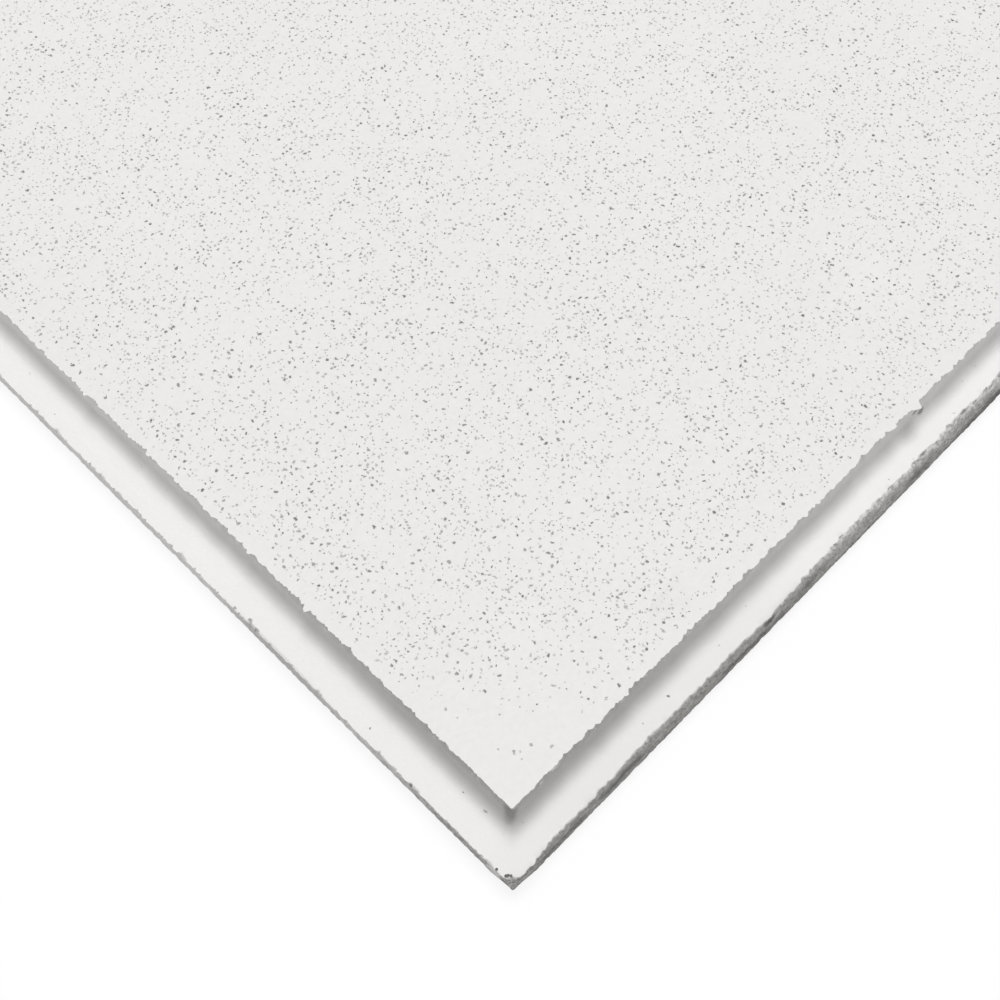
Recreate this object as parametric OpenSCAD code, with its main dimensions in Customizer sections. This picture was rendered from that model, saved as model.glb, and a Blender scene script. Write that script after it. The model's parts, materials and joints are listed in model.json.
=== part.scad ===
// Suspended ceiling tile: one mineral fibre board with a rebated edge on all four sides.
// It lies on its back with the painted face up. The near corner is the front left one.
// Millimetres, +Z up. The origin is at the centre of the back, with X and Y along the sides.

/* [Board] */
// Length of the tile along X, over its ledges
tile_length = 595; // [295:5:1195]
// Width of the tile along Y, over its ledges
tile_width = 595; // [295:5:1195]

/* [Rebated edge] */
// Thickness of the ledge that lies on the ceiling grid
ledge_thickness = 7; // [5:0.5:12]
// Width of the ledge round the face
ledge_width = 8.5; // [6:0.5:16]
// Height of the face above the ledge
face_height = 8; // [5:0.5:12]
// Radius of the cove at the foot of the step
cove_radius = 3; // [1:0.5:4]

/* [Wear] */
// How far the top of the front ledge is broken back from its edge, by the near corner
front_break_near = 1.3; // [0.5:0.1:3]
// How far it is broken back further along the front
front_break_far = 2.2; // [0.5:0.1:3]
// Distance from the near corner of the ledge to where the front break gets wider
front_break_change = 71; // [20:1:200]
// How far down the front edge the break reaches
front_break_drop = 4.2; // [0.5:0.1:4.5]
// Length lost along each side at the near corner of the ledge
corner_loss = 2.8; // [1:0.1:5.5]
// How far down the near corner that loss reaches
corner_loss_drop = 4.5; // [1:0.5:4.5]

/* [Hidden] */
$fn = 64;

board_thickness = ledge_thickness + face_height;
face_length = tile_length - 2 * ledge_width;
face_width = tile_width - 2 * ledge_width;

// Cutters run past the board by this much
clear = 2;

// Bites out of the face's arris: side, distance from the near corner of the face, length, depth
face_bites = [
    ["left", 43, 2.4, 0.4],
    ["left", 57, 2.4, 0.3],
    ["left", 78, 2.2, 0.4],
    ["left", 103, 2.8, 0.5],
    ["left", 119, 2.2, 0.4],
    ["front", 31, 2.2, 0.4],
    ["front", 63, 2.6, 0.4],
    ["front", 110, 2.6, 0.3],
    ["front", 128, 2.4, 0.4],
];

// Bites out of the left ledge's arris: side, distance from the near corner of the ledge, length, depth
ledge_bites = [
    ["left", 25, 3.4, 0.5],
    ["left", 71, 3.2, 0.7],
    ["left", 95, 2, 0.4],
    ["left", 132, 3, 0.5],
];

// Puts a shape drawn along the front edge, from the near corner of the ledge, on one of the two near sides
module along_side(side) {
    translate([-tile_length / 2, -tile_width / 2, 0])
        if (side == "front")
            children();
        else
            rotate(90) mirror([0, 1, 0]) children();
}

// Section of the cove: out from the wall along X, up from the ledge along Y
module cove_profile() {
    difference() {
        square(cove_radius);
        translate([cove_radius, cove_radius]) circle(r = cove_radius);
    }
}

// The cove along all four walls, swept round the face's corners
module cove() {
    for (turn = [0:3]) {
        run = turn % 2 == 0 ? face_length : face_width;
        reach = turn % 2 == 0 ? face_width : face_length;
        rotate(90 * turn) translate([-run / 2, -reach / 2, ledge_thickness]) {
            rotate([90, 0, 90]) linear_extrude(run) mirror([1, 0, 0]) cove_profile();
            rotate(180) rotate_extrude(angle = 90) cove_profile();
        }
    }
}

// The board as it left the mill: ledge slab, raised face and the cove between them
module milled_board() {
    translate([-tile_length / 2, -tile_width / 2, 0])
        cube([tile_length, tile_width, ledge_thickness]);
    translate([-face_length / 2, -face_width / 2, 0])
        cube([face_length, face_width, board_thickness]);
    cove();
}

// Slanting cut off an arris that runs along X at the top of the ledge
module slanting_cut(width, drop, run) {
    slope = drop / width;
    rotate([90, 0, 90]) linear_extrude(run)
        polygon([
            [width + clear / slope, ledge_thickness + clear],
            [-clear, ledge_thickness + clear],
            [-clear, ledge_thickness - drop - clear * slope],
        ]);
}

// The front ledge's arris, broken back along its whole length, and further back away from the near corner
module front_break() {
    far_run = tile_length - front_break_change;
    along_side("front") {
        translate([-clear, 0, 0])
            slanting_cut(front_break_near, front_break_drop, tile_length + 2 * clear);
        translate([front_break_change, 0, 0])
            slanting_cut(front_break_far, front_break_drop, far_run + clear);
    }
}

// The lost tip of the ledge's near corner
module corner_break() {
    depth = corner_loss / sqrt(2);
    half_run = corner_loss + clear;
    along_side("front") rotate(-45) translate([-half_run, 0, 0])
        slanting_cut(depth, corner_loss_drop, 2 * half_run);
}

// A rounded bite that takes the given length of an arris and goes in at 45 degrees
module bite(along, inset, height, length, depth) {
    radius = (pow(length / 2, 2) + pow(depth, 2)) / (2 * depth);
    stand_off = (radius - depth) / sqrt(2);
    translate([along, inset - stand_off, height + stand_off]) sphere(r = radius);
}

module bites() {
    for (b = face_bites)
        along_side(b[0]) bite(ledge_width + b[1], ledge_width, board_thickness, b[2], b[3]);
    for (b = ledge_bites)
        along_side(b[0]) bite(b[1], 0, ledge_thickness, b[2], b[3]);
}

module ceiling_tile() {
    color("#e9e8e6") difference() {
        milled_board();
        front_break();
        corner_break();
        bites();
    }
}

ceiling_tile();
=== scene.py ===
"""A mineral fibre ceiling tile with a rebated edge, lying on its back with the painted face up."""

import json
import math
from collections import namedtuple

import bpy
import numpy as np
from bpy.props import FloatProperty, FloatVectorProperty, IntProperty, PointerProperty
from mathutils import Matrix, Vector
from mathutils.geometry import delaunay_2d_cdt


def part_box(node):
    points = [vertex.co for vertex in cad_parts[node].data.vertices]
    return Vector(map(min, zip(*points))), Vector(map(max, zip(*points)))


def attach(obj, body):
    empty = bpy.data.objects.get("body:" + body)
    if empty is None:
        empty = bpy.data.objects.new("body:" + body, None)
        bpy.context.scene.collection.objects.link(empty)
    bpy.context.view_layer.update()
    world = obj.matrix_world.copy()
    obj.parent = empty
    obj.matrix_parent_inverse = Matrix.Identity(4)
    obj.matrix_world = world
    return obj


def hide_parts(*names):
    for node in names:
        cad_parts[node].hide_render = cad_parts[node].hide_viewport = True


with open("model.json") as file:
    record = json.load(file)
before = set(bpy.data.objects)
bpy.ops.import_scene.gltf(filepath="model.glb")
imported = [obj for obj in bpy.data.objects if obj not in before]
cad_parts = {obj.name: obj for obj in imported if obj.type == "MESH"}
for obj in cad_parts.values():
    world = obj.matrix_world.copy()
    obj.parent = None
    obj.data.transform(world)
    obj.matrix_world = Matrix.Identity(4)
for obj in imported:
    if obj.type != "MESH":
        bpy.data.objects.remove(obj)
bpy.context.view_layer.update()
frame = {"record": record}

bl_info = {
    "name": "Ceiling tile",
    "version": (1, 0, 0),
    "blender": (4, 5, 0),
    "location": "3D View > Sidebar > Ceiling tile",
    "description": "Builds a rebated mineral fibre ceiling tile, its finishes and its studio stage",
    "category": "Add Mesh",
}

MM = 0.001
NODE = "ceiling_tile"
BODY = "root"
BARE = "bare_core"
TILE_LOW, TILE_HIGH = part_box(NODE)
TILE_SIZE = TILE_HIGH - TILE_LOW
LEDGE_TOP = next(m["pos_m"][2] for m in frame["record"]["mounts"] if m["name"] == "ledge")

# The sides run anticlockwise seen from above. The near corner is where the left side meets the front one.
FRONT, RIGHT, REAR, LEFT = range(4)
ALONG = np.array([(1, 0), (0, 1), (-1, 0), (0, -1)], float)
OUTWARD = np.array([(0, -1), (1, 0), (0, 1), (-1, 0)], float)

# A nick in an arris: its side, its distance from the near corner, its length and its depth, in millimetres
Nick = namedtuple("Nick", "side along length depth")
FACE_BITES = (
    Nick(LEFT, 43, 2.4, 0.4),
    Nick(LEFT, 57, 2.4, 0.3),
    Nick(LEFT, 78, 2.2, 0.4),
    Nick(LEFT, 103, 2.8, 0.5),
    Nick(LEFT, 119, 2.2, 0.4),
    Nick(FRONT, 31, 2.2, 0.35),
    Nick(FRONT, 63, 2.6, 0.4),
    Nick(FRONT, 110, 2.6, 0.25),
    Nick(FRONT, 128, 2.4, 0.4),
)
# Crumbs and a flake that stick out of the face's arris, given like the nicks
FACE_CRUMBS = (
    Nick(LEFT, 54, 1.3, 0.85),
    Nick(LEFT, 70.5, 1.1, 0.4),
    Nick(LEFT, 101, 1.2, 0.5),
    Nick(LEFT, 121, 1, 0.45),
    Nick(FRONT, 22, 0.9, 0.3),
    Nick(FRONT, 84, 1, 0.35),
    Nick(FRONT, 107, 2.4, 0.5),
    Nick(FRONT, 126, 1.4, 0.45),
)
FACE_FLAKES = (Nick(FRONT, 114.1, 2.9, 1.4),)
LEDGE_BITES = (
    Nick(LEFT, 26, 3.2, 0.45),
    Nick(LEFT, 71, 3, 0.6),
    Nick(LEFT, 95, 1.6, 0.35),
    Nick(LEFT, 132, 2.4, 0.45),
)

# A dark mark. Some stand for gaps in the fibre, and those noted below are painted shade and painted
# shadows.
# Its middle from the near corner of the ledge, along the front and the left side, its height above the
# ledge, its length along the front, along the left side and upright, and its shade
DarkMark = namedtuple("DarkMark", "front left height wide long tall shade")
DARK_MARKS = (
    # Dark specks at the broken near tip: deep holes in the fibre, their darkness painted shade
    DarkMark(0.4, 4.4, -0.1, 0.66, 0.66, 2, 0.95),
    DarkMark(0.74, 2.36, -0.3, 0.78, 0.72, 2, 0.95),
    DarkMark(1.05, 2.08, -0.3, 0.8, 0.74, 2, 0.95),
    DarkMark(1.36, 1.8, -0.3, 0.72, 0.66, 2, 0.9),
    DarkMark(5.94, 18.44, 0.1, 0.4, 0.45, 1, 0.7),
    DarkMark(6.3, 13.1, 0.3, 0.45, 1.1, 1, 0.5),
    # Painted shade on the step's wall under the face's tip
    DarkMark(7.9, 8.8, 4.4, 4.2, 4.2, 8, 0.45),
    # Painted shadow of the flake on the wall and cove below it
    DarkMark(124.5, 8.4, 3.7, 2.4, 1.2, 2, 0.6),
    DarkMark(126.5, 8.2, 1.8, 2.2, 1.2, 1.8, 0.6),
    # Dark spots in nicks along the left ledge's arris, their darkness painted shade
    DarkMark(0.2, 26.3, -0.2, 0.7, 0.9, 2, 0.7),
    DarkMark(0.35, 75.7, -0.2, 0.7, 0.9, 2, 0.6),
    DarkMark(0.8, 71.7, -0.1, 0.8, 1.2, 2, 0.6),
    DarkMark(0.4, 69.2, -0.4, 0.7, 1.6, 3, 0.6),
    DarkMark(0, 63, -3, 1.6, 36, 12, 0.22),
    # Painted shade where the front break steps wider and along its lower face
    DarkMark(70.9, 0.85, -1.2, 4, 1, 2.4, 0.75),
    DarkMark(78.6, 0.6, -2.6, 6, 1.4, 3, 0.3),
    DarkMark(120.2, 2.1, -0.3, 2.4, 0.7, 2, 0.5),
    DarkMark(133.7, 2.2, -0.3, 2.6, 0.7, 2, 0.5),
    DarkMark(146.2, 2.3, -0.3, 2.6, 0.8, 2, 0.5),
    # Painted shade on the lower front face further along
    DarkMark(143, 0.3, -5, 34, 2.4, 5, 0.4),
    # A faint painted shade over the front ledge
    DarkMark(40, 4, 0, 90, 16, 12, 0.045),
)

# Faint pits in the face by its near corner, their darkness painted shade, given like the dark marks
FACE_SPECKS = (
    DarkMark(14.48, 17.84, 8, 0.5, 0.5, 1, 0.5),
    DarkMark(16.18, 15.54, 8, 0.6, 0.6, 1, 0.65),
    DarkMark(15.9, 15.2, 8, 0.5, 0.6, 1, 0.5),
    DarkMark(19.13, 14.21, 8, 0.6, 0.7, 1, 0.6),
    DarkMark(21.5, 11.36, 8, 0.9, 0.6, 1, 0.5),
    DarkMark(16.14, 13.55, 8, 0.5, 0.4, 1, 0.4),
    DarkMark(16.91, 14.72, 8, 0.5, 0.5, 1, 0.35),
)

# One column of the edge's grid: where it starts on the face's outline, its direction out, how much longer
# it is than one square to its side, its length, its side, its distance from the nearest corner of the face,
# its places along the face's outline and the tile's outline, its distance from the near corner, and the
# lengths of the two outlines
Columns = namedtuple(
    "Columns", "base out stretch reach side from_corner face_place edge_place near face_round edge_round")

# One ring of the edge's grid: distance out from the wall, height and share of bare core at each column
Ring = namedtuple("Ring", "out height bare")

# How the outer edge is worn at each column: the width and the drop lost at its arris, its share of bare
# core, the paint kept on the break, and how far the near corner is blunted and drawn in
EdgeLoss = namedtuple("EdgeLoss", "width drop raw kept blunted tucked")

# One step down the break: its shares of the width and the drop, how rough it is outwards and upright, its
# share of bare core, its shares of the paint kept and of the draw at the near corner
BreakStep = namedtuple("BreakStep", "width drop rough_out rough_up bare kept tucked")
BREAK_STEPS = (
    BreakStep(0.75, 0.11, 0.5, 0.4, 0.6, 1, 0),
    BreakStep(0.42, 0.36, 1, 0.6, 0.8, 1, 0),
    BreakStep(0.14, 0.72, 1, 0.6, 1, 0, 0),
    BreakStep(0, 1, 0.7, 0.6, 1, 0, 0.3),
)

# Points on the face closer together than this are one point
SAME_POINT = 1e-9
# Faces that meet at more than this angle show a sharp edge
SHARP_ANGLE = math.radians(38)
# Half the floor's width, in metres
FLOOR_REACH = 6.0
# The camera's sensor in millimetres, and the nearest thing that it sees
SENSOR_WIDTH = 36.0
CLIP_START = 10 * MM


def srgb(red, green, blue):
    """A colour as it looks on screen, from 0 to 255, as linear values."""
    parts = [value / 255 for value in (red, green, blue)]
    return tuple(p / 12.92 if p <= 0.04045 else ((p + 0.055) / 1.055) ** 2.4 for p in parts)


def length_property(name, description, default):
    return FloatProperty(name=name, description=description, default=default, unit="LENGTH", precision=5)


def share_property(name, description, default):
    return FloatProperty(name=name, description=description, default=default, subtype="FACTOR")


def angle_property(name, description, degrees):
    return FloatProperty(name=name, description=description, default=math.radians(degrees), subtype="ANGLE")


def number_property(name, description, default):
    return FloatProperty(name=name, description=description, default=default)


def seed_property(description, default):
    return IntProperty(name="Seed", description=description, default=default)


def colour_property(name, description, default):
    return FloatVectorProperty(
        name=name, description=description, default=default, subtype="COLOR", min=0, max=1)


class BoardShape(bpy.types.PropertyGroup):
    """Sizes of the milled board and of the grid that its edge is made of."""

    ledge_width: length_property("Ledge width", "Width of the ledge round the face", 8.5 * MM)
    cove_radius: length_property("Cove radius", "Radius of the cove at the foot of the step", 3 * MM)
    corner_round: length_property("Corner rounding", "Rounding of the face's upright corners", 0.25 * MM)
    face_margin: length_property("Face margin", "Width of the strip of face beside its arris", 1.6 * MM)
    fine_spacing: length_property("Fine spacing", "Distance between columns by the near corner", 0.21 * MM)
    coarse_spacing: length_property("Coarse spacing", "Distance between columns elsewhere", 2.8 * MM)
    fine_reach: length_property("Fine reach", "Distance from the near corner with fine columns", 145 * MM)


class EdgeWear(bpy.types.PropertyGroup):
    """How ragged and broken the arrises are."""

    wander: length_property("Wander", "Slow wander of the face's arris", 0.12 * MM)
    scallop_spacing: length_property(
        "Scallop spacing", "Distance between small scallops along the face's arris", 1.3 * MM)
    scallop_depth: share_property(
        "Scallop depth", "Depth of a small scallop as a share of its length", 0.11)
    teeth: length_property("Teeth", "Depth of the fine teeth along the face's arris", 0.38 * MM)
    front_break_near: length_property(
        "Front break, near", "Width broken off the front ledge at the near corner", 1.45 * MM)
    front_break_far: length_property(
        "Front break, far", "Width broken off the front ledge further along", 2.2 * MM)
    front_break_change: length_property(
        "Front break change", "Where along the front the break gets wider", 71 * MM)
    front_break_drop: length_property(
        "Front break drop", "How far down the front edge the break reaches", 4.2 * MM)
    plain_break: length_property("Plain break", "Width lost along the other ledges' arrises", 0.12 * MM)
    plain_teeth: length_property(
        "Plain teeth", "Depth of the fine teeth along the other ledges' arrises", 0.5 * MM)
    corner_loss: length_property("Corner loss", "Length lost along each side at the near corner", 2.8 * MM)
    corner_loss_drop: length_property("Corner loss drop", "How far down the near corner is lost", 4.5 * MM)
    blunting: length_property(
        "Blunting", "Length lost along each side over the whole height at the near corner", 0.5 * MM)
    tuck: length_property("Tuck", "How far both outer edges draw in towards the near corner", 0.7 * MM)
    overspray: share_property(
        "Overspray", "Share of paint on the outer edges that aren't broken", 0.92)
    roughness: length_property("Roughness", "Roughness of the bare core", 0.16 * MM)
    seed: seed_property("Start of the random wear", 7)


class FacePits(bpy.types.PropertyGroup):
    """The larger pits of the face, which are cut into the mesh."""

    cell: length_property("Cell", "Side of the square that holds at most one pit", 2.6 * MM)
    share: share_property("Share", "Share of the squares that hold a pit", 0.135)
    smallest: length_property("Smallest", "Radius of the smallest pit", 0.14 * MM)
    largest: length_property("Largest", "Radius of the largest pit", 0.38 * MM)
    quiet_edge: length_property("Quiet edge", "Width beside the arris where pits thin out", 3 * MM)
    quiet_corner: length_property(
        "Quiet corner", "Sum of the distances from two arrises where pits thin out", 44 * MM)
    seed: seed_property("Start of the random pits", 21)


class TileFinish(bpy.types.PropertyGroup):
    """Colours of the paint, of the bare board and of the painted shade."""

    face_paint: colour_property("Face paint", "Paint of the face", srgb(235, 234, 232))
    ledge_paint: colour_property("Ledge paint", "Paint of the step and the ledge", srgb(237, 236, 235))
    # Colour of thin paint on the step's wall, also used as painted shade on the wall and cove
    thin_paint_and_shade: colour_property("Thin paint", "Step's wall where the paint is thin", srgb(188, 187, 184))
    # Dark colour of the fine holes and specks: grey core with painted shade in the holes
    pit_core_and_shade: colour_property("Pit shade", "Floor of the pits", srgb(124, 122, 119))
    bare_core: colour_property("Bare core", "Broken and sawn mineral fibre", srgb(212, 211, 208))
    core_dark: colour_property("Dark core", "Gaps between the fibres", srgb(122, 121, 118))
    # Also the colour of painted shade and painted shadows: in the dark marks and at the outer edge's foot
    gap_and_shadow_dark: colour_property("Gap shade", "Deep gaps in the fibre", srgb(74, 72, 70))
    back_felt: colour_property("Back", "Unpainted back of the board", srgb(202, 198, 188))


class StudioStage(bpy.types.PropertyGroup):
    """Floor, light and camera."""

    floor: colour_property("Floor", "Colour of the floor where it lights the tile", srgb(228, 228, 228))
    floor_white: share_property("Floor white", "Share of plain white in the floor", 0.88)
    sky: number_property("Sky", "Strength of the even light from all round", 0.32)
    key: number_property("Key", "Strength of the soft light above the tile", 2.2)
    key_height: angle_property("Key height", "Height of the key above the horizon", 76)
    key_heading: angle_property("Key heading", "Direction that the key stands in, from +X", 45)
    key_width: angle_property("Key width", "How wide the key looks from the tile", 28)
    camera_offset: FloatVectorProperty(
        name="Camera offset", description="Camera's place from the near corner of the face", unit="LENGTH",
        default=(-46.62 * MM, -48.75 * MM, 252.07 * MM))
    camera_heading: angle_property("Camera heading", "Direction that the camera looks in, from +X", 46.53)
    camera_dip: angle_property("Camera dip", "How far the camera looks down", 63.07)
    camera_roll: angle_property("Camera roll", "Clockwise tilt of the camera", 1.88)
    camera_lens: number_property("Lens", "Focal length in millimetres", 52.6)


class CeilingTile(bpy.types.PropertyGroup):
    """All the settings of the tile."""

    shape: PointerProperty(type=BoardShape)
    wear: PointerProperty(type=EdgeWear)
    pits: PointerProperty(type=FacePits)
    finish: PointerProperty(type=TileFinish)
    stage: PointerProperty(type=StudioStage)


def smooth(value):
    """Eases a value from 0 to 1, and holds it outside that range."""
    value = np.clip(value, 0, 1)
    return value * value * (3 - 2 * value)


def closed_noise(place, around, wavelength, rng, toothed=False):
    """Random values from -1 to 1 along a closed line, either smooth or with straight runs between."""
    knots = max(4, round(around / wavelength))
    values = rng.uniform(-1, 1, knots)
    position = place / around * knots
    first = np.floor(position).astype(int)
    ease = position - first if toothed else smooth(position - first)
    return values[first % knots] * (1 - ease) + values[(first + 1) % knots] * ease


def patch_noise(points, wavelength, rng):
    """Smooth random values from 0 to 1 over a plane."""
    position = (points - points.min(axis=0)) / wavelength
    cell = np.floor(position).astype(int)
    ease = smooth(position - cell)
    values = rng.uniform(0, 1, cell.max(axis=0) + 2)
    x, y = cell.T
    across, along = ease.T
    low = values[x, y] * (1 - across) + values[x + 1, y] * across
    high = values[x, y + 1] * (1 - across) + values[x + 1, y + 1] * across
    return low * (1 - along) + high * along


def face_half(shape):
    """Half the length and half the width of the raised face."""
    return np.array([TILE_SIZE.x, TILE_SIZE.y]) / 2 - shape.ledge_width


def spaced(run, side, shape):
    """Distances along a side, closest together towards the near corner."""
    sample = np.linspace(0, run, 4000)
    from_corner = {FRONT: sample, LEFT: run - sample}.get(side, np.full_like(sample, run))
    ease = smooth((from_corner - shape.fine_reach) / (0.4 * shape.fine_reach))
    spacing = shape.fine_spacing + (shape.coarse_spacing - shape.fine_spacing) * ease
    steps = np.concatenate(([0], np.cumsum(np.diff(sample) / spacing[1:])))
    return np.interp(np.linspace(0, steps[-1], math.ceil(steps[-1]) + 1), steps, sample)


def fan_angles(count):
    """Angles round a corner that meet the square outline at even steps, leaving out both sides."""
    half = np.arctan(np.linspace(0, 1, count + 1))[1:]
    return np.concatenate((half, math.pi / 2 - half[-2::-1]))


def edge_columns(shape):
    """The columns of the edge's grid, all the way round from the near corner."""
    half = face_half(shape)
    rounding = shape.corner_round
    base, out, stretch, side = [], [], [], []
    for k in range(4):
        half_along, half_out = half if k % 2 == 0 else half[::-1]
        straight = spaced(2 * (half_along - rounding), k, shape)
        base.append(OUTWARD[k] * half_out + np.outer(straight - half_along + rounding, ALONG[k]))
        out.append(np.tile(OUTWARD[k], (len(straight), 1)))
        stretch.append(np.ones(len(straight)))
        side.append(np.full(len(straight), k))
        spacing = shape.fine_spacing if k == LEFT else shape.coarse_spacing
        angles = fan_angles(round(shape.ledge_width / spacing))
        turned = np.outer(np.cos(angles), OUTWARD[k]) + np.outer(np.sin(angles), ALONG[k])
        corner = ALONG[k] * (half_along - rounding) + OUTWARD[k] * (half_out - rounding)
        base.append(corner + rounding * turned)
        out.append(turned)
        stretch.append(1 / np.maximum(np.cos(angles), np.sin(angles)))
        side.append(np.where(angles <= math.pi / 4, k, (k + 1) % 4))
    base, out = np.concatenate(base), np.concatenate(out)
    stretch, side = np.concatenate(stretch), np.concatenate(side)
    reach = (shape.ledge_width + rounding) * stretch - rounding
    face_lengths = np.tile(2 * half, 2)
    edge_lengths = face_lengths + 2 * shape.ledge_width
    on_face = np.sum(base * ALONG[side], axis=1) + face_lengths[side] / 2
    on_edge = np.sum((base + out * reach[:, None]) * ALONG[side], axis=1) + edge_lengths[side] / 2
    from_corner = np.minimum(on_face, face_lengths[side] - on_face)
    near = np.full(len(side), np.inf)
    near[side == FRONT] = on_edge[side == FRONT]
    near[side == LEFT] = edge_lengths[LEFT] - on_edge[side == LEFT]
    face_starts = np.concatenate(([0], np.cumsum(face_lengths)))
    edge_starts = np.concatenate(([0], np.cumsum(edge_lengths)))
    return Columns(
        base, out, stretch, reach, side, from_corner, face_starts[side] + on_face,
        edge_starts[side] + on_edge, near, face_starts[-1], edge_starts[-1])


def nick_depths(place, around, nicks, power=0.7):
    """Depth at each place of nicks, each given as its middle, its length, its depth and where its tip lies.

    The tip lies between -1 and 1, and a lower power makes the nicks blunter."""
    depth = np.zeros(len(place))
    for middle, length, deepest, tip in nicks:
        spot = 2 * ((place - middle + around / 2) % around - around / 2) / length
        rise = np.where(spot < tip, (spot + 1) / (tip + 1), (1 - spot) / (1 - tip))
        depth = np.maximum(depth, deepest * np.clip(rise, 0, 1) ** power)
    return depth


def chosen_nicks(nicks, around, lean):
    """The listed nicks along an outline of that length.

    A positive lean turns their tips to the near corner."""
    placed = []
    for nick in nicks:
        middle, tip = (nick.along * MM, -lean) if nick.side == FRONT else (around - nick.along * MM, lean)
        placed.append((middle, nick.length * MM, nick.depth * MM, tip))
    return placed


def random_nicks(around, spacing, shortest, longest, depth_share, rng):
    """Random nicks all along an outline, most of them short."""
    count = int(around / spacing)
    middles = rng.uniform(0, around, count)
    lengths = shortest * (longest / shortest) ** rng.uniform(0, 1, count) ** 2
    depths = lengths * depth_share * rng.uniform(0.4, 1, count)
    return list(zip(middles, lengths, depths, rng.uniform(-0.8, 0.8, count)))


class Wobble:
    """Random values along the face's and the tile's outlines, for wavelengths in millimetres."""

    def __init__(self, columns, wear):
        self.columns = columns
        self.roughness = wear.roughness
        self.rng = np.random.default_rng(wear.seed)

    def face(self, wavelength, toothed=False):
        columns = self.columns
        return closed_noise(columns.face_place, columns.face_round, wavelength * MM, self.rng, toothed)

    def edge(self, wavelength, toothed=False):
        columns = self.columns
        return closed_noise(columns.edge_place, columns.edge_round, wavelength * MM, self.rng, toothed)

    def rough(self, size=1):
        """How uneven the bare core is along the tile's outline."""
        return size * self.roughness * (0.6 * self.edge(2.3) + 0.7 * self.edge(0.8))


def face_arris(shape, wear, columns, wobble):
    """How far the face's arris is worn in at each column, and how far crumbs and flakes stick out of it."""
    place, around = columns.face_place, columns.face_round
    scallops = random_nicks(
        around, wear.scallop_spacing, shortest=0.5 * MM, longest=3.6 * MM,
        depth_share=wear.scallop_depth, rng=wobble.rng)
    scalloped = nick_depths(place, around, scallops)
    bites = nick_depths(place, around, chosen_nicks(FACE_BITES, around, lean=0.7))
    crumbs = nick_depths(place, around, chosen_nicks(FACE_CRUMBS, around, lean=0.1), power=0.28)
    flakes = nick_depths(place, around, chosen_nicks(FACE_FLAKES, around, lean=-0.5), power=0.8)
    stuck_out = np.maximum(crumbs, flakes) * (1 + 0.2 * wobble.face(0.7, toothed=True))
    teeth = wear.teeth * (wobble.face(0.9, toothed=True) ** 3 + 0.5 * wobble.face(0.42, toothed=True))
    inset = wear.wander * (wobble.face(22) + 0.6 * wobble.face(7)) + np.maximum(scalloped, bites) + teeth
    inset = inset * (0.15 + 0.85 * smooth(columns.from_corner / (10 * MM)))
    return np.minimum(inset, 0.06 * columns.from_corner + 0.2 * shape.corner_round), stuck_out


def front_break_width(wear, columns, wobble):
    """Width broken off the front ledge's arris: narrow by the near corner and wider beyond the change."""
    beyond = columns.near - wear.front_break_change
    widening = 0.15 + 0.5 * smooth(columns.near / (12 * MM)) + 0.35 * smooth(columns.near / (40 * MM))
    near_width = wear.front_break_near * widening
    near_width = near_width * (1 - 0.1 * smooth(beyond / (35 * MM) + 1))
    far_width = wear.front_break_far * (0.8 + 0.2 * smooth(beyond / (50 * MM)))
    width = near_width + (far_width - near_width) * smooth(beyond / (2.5 * MM))
    width = width * (1 + 0.12 * wobble.edge(19) + 0.12 * wobble.edge(5))
    return width + 0.16 * MM * wobble.edge(1.3) + 0.2 * MM * wobble.edge(0.6, toothed=True)


def plain_break_width(wear, columns, nicks, wobble):
    """Width lost along an arris of the ledge that is nearly whole."""
    nicked = nick_depths(columns.edge_place, columns.edge_round, nicks)
    width = wear.plain_break * (1 + 0.5 * wobble.edge(4) + 0.5 * wobble.edge(1.1)) + nicked
    coarse = np.clip(wobble.edge(1.3, toothed=True), 0, 1) ** 2
    fine = np.clip(wobble.edge(0.45, toothed=True), 0, 1) ** 2
    return width + wear.plain_teeth * (0.5 * coarse + fine)


def ledge_arris(wear, columns, wobble):
    """Width and drop lost at the ledge's arris, and where it is broken back along the front."""
    nicks = chosen_nicks(LEDGE_BITES, columns.edge_round, lean=0.4)
    nicks += random_nicks(
        columns.edge_round, spacing=5 * MM, shortest=0.5 * MM, longest=2.4 * MM,
        depth_share=0.18, rng=wobble.rng)
    front = columns.side == FRONT
    far_end = smooth((columns.edge_place[front].max() - columns.near) / (6 * MM))
    broken = np.where(front, far_end, 0)
    front_width = front_break_width(wear, columns, wobble)
    plain_width = plain_break_width(wear, columns, nicks, wobble)
    width = plain_width + (np.maximum(front_width, plain_width) - plain_width) * broken
    front_drop = wear.front_break_drop * broken * (1 + 0.15 * wobble.edge(7))
    return width, np.maximum(2 * plain_width, front_drop), broken


def outer_edge(wear, columns, wobble):
    """How the outer edge is worn, with the near corner's tip lost, mostly from above."""
    width, drop, broken = ledge_arris(wear, columns, wobble)
    cosine = 1 / columns.stretch
    sine = np.sqrt(np.clip(1 - cosine**2, 0, 1))
    slant = cosine / (sine + cosine)
    lost = np.clip(wear.corner_loss * (1 + 0.15 * wobble.edge(1.2)) - columns.near, 0, None)
    torn = np.maximum(broken, smooth(lost / (0.5 * MM)))
    raw = 1 - wear.overspray * (0.6 + 0.4 * smooth(columns.near / (80 * MM))) * (1 - torn)
    beside_tip = smooth(1 - np.abs(columns.near - 5 * MM) / (3 * MM))
    spared = np.where(columns.side == FRONT, 0, beside_tip)
    return EdgeLoss(
        width=np.maximum(width, lost * slant),
        drop=np.maximum(drop, wear.corner_loss_drop * lost / wear.corner_loss),
        raw=raw * (1 - 0.6 * spared * (1 - torn)),
        kept=0.24 * smooth((columns.near - wear.front_break_change) / (30 * MM)) * broken,
        blunted=np.clip(wear.blunting - columns.near, 0, None) * slant,
        tucked=wear.tuck * smooth(1 - columns.near / (10 * MM)))


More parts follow.
